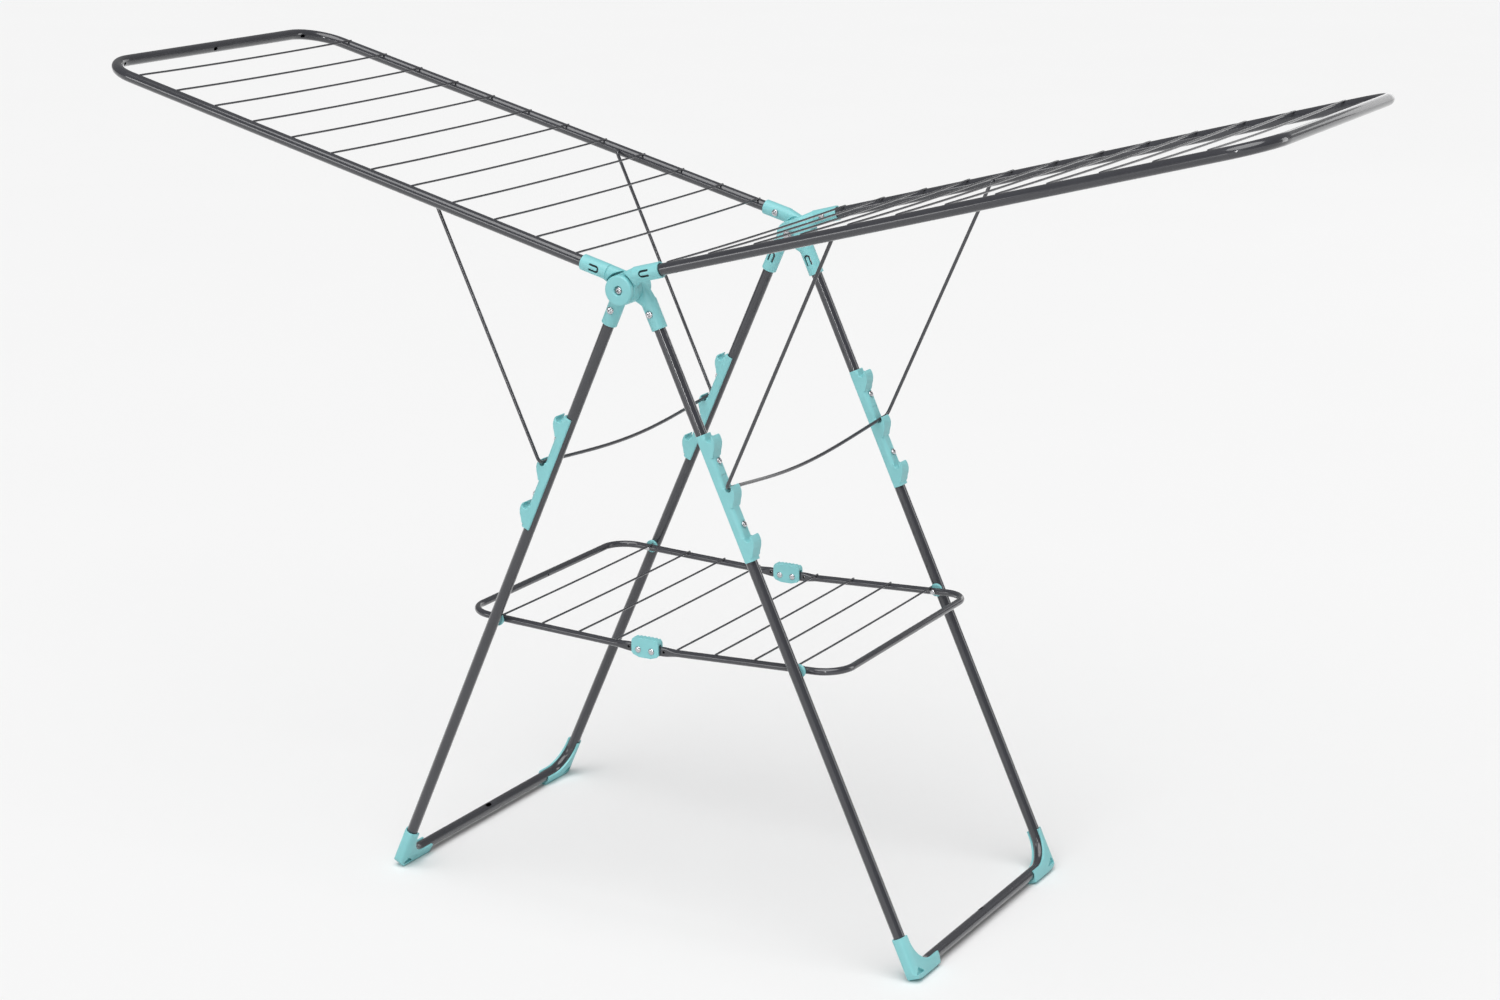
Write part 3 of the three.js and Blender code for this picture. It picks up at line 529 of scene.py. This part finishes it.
for kind, mid, off, layers, slot_out, path in (("leg", LEG_Y, LEG_OFF, (LEG_OUTER, LEG_INNER), False, leg_path), ("wing", WING_Y, WING_OFF, (WING_OUTER, WING_INNER), True, wing_path)):
    for f, layer in zip((-1, 1), layers):
        put_all(hub_arm(f, mid, off, layer, slot_out, path),
                [(f"{s}_{where(f, s)}_{kind}_hub_arm", kind, s, False) for s in SIDES], slot="plastic")

# ------------------------------------------------------------------ screws, rivets, bolts
def cross_screw(head, shank, length, dome=2.8):
    """pan head along +Z from 0, cross recess, shank below"""
    prof = [(0, -length), (shank, -length), (shank, 0), (head, 0)]
    prof += [(head * math.cos(a) ** 0.6 if a < 1.57 else 0.0, 0.8 + (dome - 0.8) * math.sin(a)) for a in np.linspace(0, math.pi / 2, 9)[:-1]] + [(0, dome)]
    ob = lathe(prof, 36, (0, 0, 0), (0, 0, 1))
    w, l = head * 0.13, head * 0.56
    def blade(ax):
        top, bot = l, l * 0.45
        pts = [(-top, dome + 1), (-top, dome - 0.7), (-bot, dome - 1.9), (bot, dome - 1.9), (top, dome - 0.7), (top, dome + 1)]
        return slab(ax, pts, -w, w)
    a, b = blade("Y"), blade("X")
    boolean(ob, [a, b])
    return ob

def oriented(ob, p, d, turn=0.0):
    q = Vector((0, 0, 1)).rotation_difference(Vector(d).normalized())
    ob.data.transform(T(p) @ q.to_matrix().to_4x4() @ R(turn, "Z"))
    return ob

screw_big, screw_small = cross_screw(5.05, 1.85, 6.5), cross_screw(4.65, 1.65, 5.2)
turns = [17, 61, 38, 80, 5, 49, 27, 72]
k = 0
for s in SIDES:
    for f in (-1, 1):
        w = where(f, s)
        finish(oriented(copy_of(screw_big), (SCREW_S, f * (LEG_Y + SOCKET_R + 0.25), LEG_OFF), (0, f, 0), turns[k % 8]), f"{s}_{w}_leg_arm_screw", "leg", s, "screws", smooth_angle=35)
        finish(oriented(copy_of(screw_big), (SCREW_S, f * (WING_Y - SOCKET_R - 0.25), WING_OFF), (0, -f, 0), turns[(k + 3) % 8]), f"{s}_{w}_wing_arm_screw", "wing", s, "screws", smooth_angle=35)
        for i, bs in enumerate(BRACKET_SCREW_S):
            finish(oriented(copy_of(screw_small), (bs, f * LEG_Y, LEG_OFF + 10.7), (0, 0, 1), turns[(k + 5 * i + 1) % 8]), f"{s}_{w}_bracket_screw_{i + 1}", "leg", s, "screws", smooth_angle=35)
        k += 1
drop(screw_big, screw_small)

for f in (-1, 1):
    w = "front" if f < 0 else "back"
    B = BOLT_R + 0.4
    prof = [(B, 0), (19.0, 0), (20.2, 1.0), (20.2, 7.6), (18.9, 9.1), (7.4, 9.1), (6.2, 8.3), (6.0, 4.4), (B, 4.4)]
    cap = lathe(fillet(prof, 1.3, 5) + [(B, 0)], 128, (0, f * CAP_Y, 0), (0, f, 0))
    finish(cap, f"{w}_hub_cap", "hub", "right", "plastic", smooth_angle=50)
    bp = [(0, 198.6), (3.1, 198.6), (BOLT_R, 199.6), (BOLT_R, 254.3), (5.4, 254.3), (5.4, 255.3), (4.9, 256.4), (3.6, 257.4), (2.2, 257.8), (0, 257.9)]
    bolt = lathe(bp, 48, (0, 0, 0), (0, 0, 1))
    wdt, l = 0.7, 2.7
    pts = [(-l, 259), (-l, 257.0), (-1.1, 255.7), (1.1, 255.7), (l, 257.0), (l, 259)]
    boolean(bolt, [slab("Y", pts, -wdt, wdt), slab("X", pts, -wdt, wdt)])
    oriented(bolt, (0, 0, 0), (0, f, 0), 23)
    finish(bolt, f"{w}_hub_bolt", "hub", "right", "screws", smooth_angle=35)
    nut = lathe([(4.6, NUT_Y[0]), (6.6, NUT_Y[0]), (7.8, NUT_Y[0] + 1.0), (7.8, NUT_Y[1] - 0.4), (7.4, NUT_Y[1]), (4.6, NUT_Y[1]), (4.6, NUT_Y[0])], 6, (0, 0, 0), (0, f, 0))
    finish(nut, f"{w}_hub_nut", "hub", "right", "screws", smooth_angle=20)

def dome(h0, r=4.5, high=1.9):
    return [(r * math.cos(a), h0 + high * math.sin(a)) for a in np.linspace(0, math.pi / 2, 8)[:-1]] + [(0, h0 + high)]
for f in (-1, 1):
    w = "front" if f < 0 else "back"
    for nm, x in (("left", -SHELF_RIVET_X), ("right", SHELF_RIVET_X)):
        h, s0 = 6.7, 2.0
        up = dome(h)
        prof = [(r, -z) for r, z in up][::-1] + [(s0, -h), (s0, h)] + up
        riv = lathe(prof, 36, (x, f * SHELF_Y, 0), (0, f, 0))
        finish(riv, f"{w}_{nm}_link_rivet", "link", "right", "screws", smooth_angle=40)
for s in SIDES:
    for f in (-1, 1):
        w = where(f, s)
        tail = 214 if s == "left" else 205.6
        up = dome(0, 3.8, 1.8)
        prof = [(r, -z) for r, z in up][::-1] + [(2.0, 0), (2.0, tail - 194.9), (0, tail - 194.9)]
        riv = lathe(prof, 36, (SHELF_PIVOT_S, f * 194.9, LEG_OFF), (0, f, 0))
        finish(riv, f"{s}_{w}_shelf_pivot_rivet", "leg", s, "screws", smooth_angle=40)
        bp = fillet([(2.35, 205.85), (9.0, 205.85), (9.5, 206.4), (9.5, 209.3), (9.0, 209.85), (2.35, 209.85)], 0.4, 3)
        bush = lathe(bp + [bp[0]], 48, (SHELF_PIVOT_S, 0, LEG_OFF), (0, f, 0))
        finish(bush, f"{s}_{w}_shelf_bush", "leg", s, "plastic", smooth_angle=50)

# ------------------------------------------------------------------ notched brackets
def smooth_poly(pts, r, steps=3):
    """rounds the corners of a closed outline"""
    n, out = len(pts), []
    for i in range(n):
        a, b, c = (np.array(pts[(i + k) % n], float) for k in (-1, 0, 1))
        l1, l2 = np.linalg.norm(a - b), np.linalg.norm(c - b)
        k = min(r, l1 * 0.4, l2 * 0.4)
        p, q = b + (a - b) / l1 * k, b + (c - b) / l2 * k
        for j in range(steps + 1):
            t = j / steps
            out.append(tuple((1 - t) ** 2 * p + 2 * t * (1 - t) * b + t * t * q))
    return out

def bracket():
    f, y, hw = -1, -LEG_Y, 10.8
    q = lambda v: LEG_OFF + v
    body = slab("X", smooth_poly([(y - hw, q(-4)), (y - hw, q(6.6)), (y - hw + 3.6, q(10.4)), (y + hw - 3.6, q(10.4)), (y + hw, q(6.6)), (y + hw, q(-4))], 2.0), 216, 395.5)
    lobes = []
    for n in NOTCH_S:
        end = n + 26
        lobes.append(slab("Y", smooth_poly([(n - 2.2, q(18.0)), (n - 1.4, q(19.9)), (n + 3, q(20.8)), (n + 9, q(20.2)), (n + 15, q(17.6)), (n + 20, q(13.6)),
                                            (end, q(10.2)), (end, q(6.5)), (n - 2.2, q(6.5))], 3.0, 4), y - hw, y + hw))
    boolean(body, lobes, "UNION")
    cuts = [tube_along("X", TUBE_R + FIT, 180, 430, (y, LEG_OFF), 48)]
    for n in NOTCH_S:
        arc = [(n + 0.6 + 4.2 * math.cos(a), q(13.9 + 4.2 * math.sin(a))) for a in np.linspace(-math.pi / 2, math.pi / 2, 13)]
        cuts.append(slab("Y", [(n - 20, q(9.7))] + arc + [(n - 20, q(18.1))], y - hw - 1, y + hw + 1))
    for s in BRACKET_SCREW_S: cuts.append(tube_along("Z", 2.0, q(7), q(12), (s, y), 24))
    boolean(body, cuts)
    return soften(body, 0.6, 4, 0.3)
put_all(bracket(), [(f"{s}_{where(f, s)}_notch_bracket", "leg", s, f > 0) for s in SIDES for f in (-1, 1)], slot="plastic")

# ------------------------------------------------------------------ corner feet
def foot():
    q0, cs, cv, ri = LEG_OFF, LEG_END - LEG_BEND, LEG_Y - LEG_BEND, LEG_BEND - 4.5
    out = smooth_poly([(934, 229), (983, 229), (988.5, 227), (993, 222.5), (995.4, 216), (996, 208), (996, 157)], 4)[4:-4]
    inner = [(cs + ri * math.sin(a), cv + ri * math.cos(a)) for a in np.linspace(0, math.pi / 2, 17)]
    outline = [(934, 229)] + out + [(996, 157), (cs + ri, 157)] + inner[::-1] + [(934, cv + ri)]
    body = slab("Z", [(s, -v) for s, v in outline], q0 - 10.4, q0 + 10.4)
    p1 = slab("Y", smooth_poly([(900, q0 - 10.4), (985, q0 - 10.4), (998, q0 - 8.6), (998, q0 + 7), (984, q0 + 10.4), (900, q0 + 10.4)], 3), -270, 270)
    p2 = slab("X", smooth_poly([(-229.1, q0 - 6.6), (-219, q0 - 10.4), (219, q0 - 10.4), (229.1, q0 - 6.6), (229.1, q0 + 6.6), (219, q0 + 10.4), (-219, q0 + 10.4), (-229.1, q0 + 6.6)], 4), 880, 1020)
    boolean(body, [p1, p2], "INTERSECT")
    tube = sweep(leg_path(900, 24), TUBE_R + FIT, 48)
    floor = block((200, -400, -HUB_Z - 60), (700, 400, -HUB_Z))
    floor.data.transform(R(-LEG_ANGLE, "Y"))
    cuts = [tube, floor]
    # on both faces, a three-cornered pocket between the bend and the toe, and a groove that leads to it
    pocket = smooth_poly([(978.8, 217.2), (989.4, 203.0), (988.6, 224.2)], 2.0, 4)
    line = [(952, 231.5), (958, 229.6), (965, 227.4), (972, 223.6), (978.5, 219.0)]
    for face in (-1, 1):
        cuts.append(slab("Z", [(a, -b) for a, b in pocket], q0 + face * 5.2, q0 + face * 12))
        for (a0, b0), (a1, b1) in zip(line, line[1:]):
            n = np.array([-(b1 - b0), a1 - a0]); n = n / np.linalg.norm(n) * 0.75
            quad = [(a0 - n[0], b0 - n[1]), (a1 - n[0], b1 - n[1]), (a1 + n[0], b1 + n[1]), (a0 + n[0], b0 + n[1])]
            cuts.append(slab("Z", [(a, -b) for a, b in quad], q0 + face * (9.3 if b0 < 228 else 6.0), q0 + face * 12))
    boolean(body, cuts)
    return soften(body, 0.5, 3, 0.35)
put_all(foot(), [(f"{s}_{where(f, s)}_foot", "leg", s, f > 0) for s in SIDES for f in (-1, 1)], slot="plastic")

# ------------------------------------------------------------------ shelf links
def link():
    y0, y1 = -(SHELF_Y + 6.4), -(SHELF_Y - 6.4)
    top = []
    for i in range(49):
        x = -18 + 36 * i / 48
        top.append((x, 15.0 + 2.2 * math.sqrt(1 - (x / 26) ** 2) - 0.55 * (1 - math.cos(2 * math.pi * (x + 18) / 6))))
    outline = [(-21.5, 10.8), (-20.6, 13.6)] + top + [(20.6, 13.6), (21.5, 10.8), (21.5, -4.5), (18.5, -8), (9, -10.9), (-9, -10.9), (-18.5, -8), (-21.5, -4.5)]
    body = slab("Y", outline, y0, y1)
    cuts = [block((-30, -(SHELF_Y + 2.9), -20), (30, -(SHELF_Y - 2.9), 9.9))]
    for x in (-SHELF_RIVET_X, SHELF_RIVET_X): cuts.append(tube_along("Y", 2.4, y0 - 2, y1 + 2, (x, 0), 24))
    boolean(body, cuts)
    return soften(body, 0.4, 3, 0.35)
put_all(link(), [(f"{w}_shelf_link", "link", "right", w == "back") for w in ("front", "back")], slot="plastic")

# ------------------------------------------------------------------ studio
def studio_material(name, color, rough):
    m, nt, s = nodes_of(name)
    co = nt.nodes.new("ShaderNodeTexCoord").outputs["Object"]
    lo, hi = [c * 0.995 for c in color], color
    nt.links.new(ramp(nt, noise(nt, co, 1.5, 2), 0.3, 0.7, lo, hi), s.inputs["Base Color"])
    s.inputs["Roughness"].default_value = rough
    s.inputs["Specular IOR Level"].default_value = 0.2
    return m

def floor():
    me = bpy.data.meshes.new("floor")
    me.from_pydata([(-60, -60, 0), (60, -60, 0), (60, 60, 0), (-60, 60, 0)], [], [(0, 1, 2, 3)]); me.update()
    ob = bpy.data.objects.new("floor", me); scene.collection.objects.link(ob)
    me.materials.append(studio_material("studio_floor", (0.90, 0.90, 0.90), 0.9))
floor()

world = bpy.data.worlds.new("studio"); scene.world = world
world.use_nodes = True
world.node_tree.nodes["Background"].inputs["Color"].default_value = (1.0, 1.0, 1.0, 1)
world.node_tree.nodes["Background"].inputs["Strength"].default_value = 0.22

def aim(o, loc, target):
    d = Vector(target) - Vector(loc)
    o.matrix_world = T(loc) @ d.to_track_quat("-Z", "Y").to_matrix().to_4x4()

def area(name, loc, target, size, power, color=(1, 1, 1)):
    l = bpy.data.lights.new(name, "AREA")
    l.shape, l.size, l.size_y, l.energy, l.color = "RECTANGLE", size[0], size[1], power, color
    o = bpy.data.objects.new(name, l); scene.collection.objects.link(o)
    aim(o, loc, target)

def soft_sun(name, loc, strength, angle):
    l = bpy.data.lights.new(name, "SUN")
    l.energy, l.angle = strength, math.radians(angle)
    o = bpy.data.objects.new(name, l); scene.collection.objects.link(o)
    aim(o, loc, (0, 0, 0))
soft_sun("overhead_bank", (0.6, -2.2, 4.6), 2.9, 62)

def glint(name, loc, size, radiance):
    """a softbox seen only in reflections"""
    l = bpy.data.lights.new(name, "AREA")
    l.shape, l.size, l.size_y = "RECTANGLE", size[0], size[1]
    l.energy = radiance * math.pi * size[0] * size[1]
    o = bpy.data.objects.new(name, l); scene.collection.objects.link(o)
    aim(o, loc, (0, 0, 0.7))
    o.visible_diffuse = False
    o.visible_camera = False
glint("front_strip", (1.8, -4.9, 1.9), (0.35, 1.6), 22)
glint("right_bank", (4.3, 2.6, 1.7), (1.4, 3.2), 3.0)
glint("left_front_bank", (-0.3, -5.2, 0.9), (1.2, 1.6), 1.5)
glint("wing_bank", (-3.0, -4.3, 1.5), (2.6, 1.2), 4.0)
glint("rear_bank", (0.7, 7.0, 2.2), (5.0, 2.4), 1.1)

cam = bpy.data.cameras.new("cam")
cam.lens, cam.sensor_width = 2882.855 / 1500 * 36, 36
cam.clip_end = 100
co = bpy.data.objects.new("cam", cam); scene.collection.objects.link(co)
co.matrix_world = T((1.98246, -3.39553, 0.73068 + 0.904)) @ R(29.626, "Z") @ R(90 - 15.323, "X") @ R(-0.415, "Z") @ T((-0.00135, 0.0005, 0))
scene.camera = co
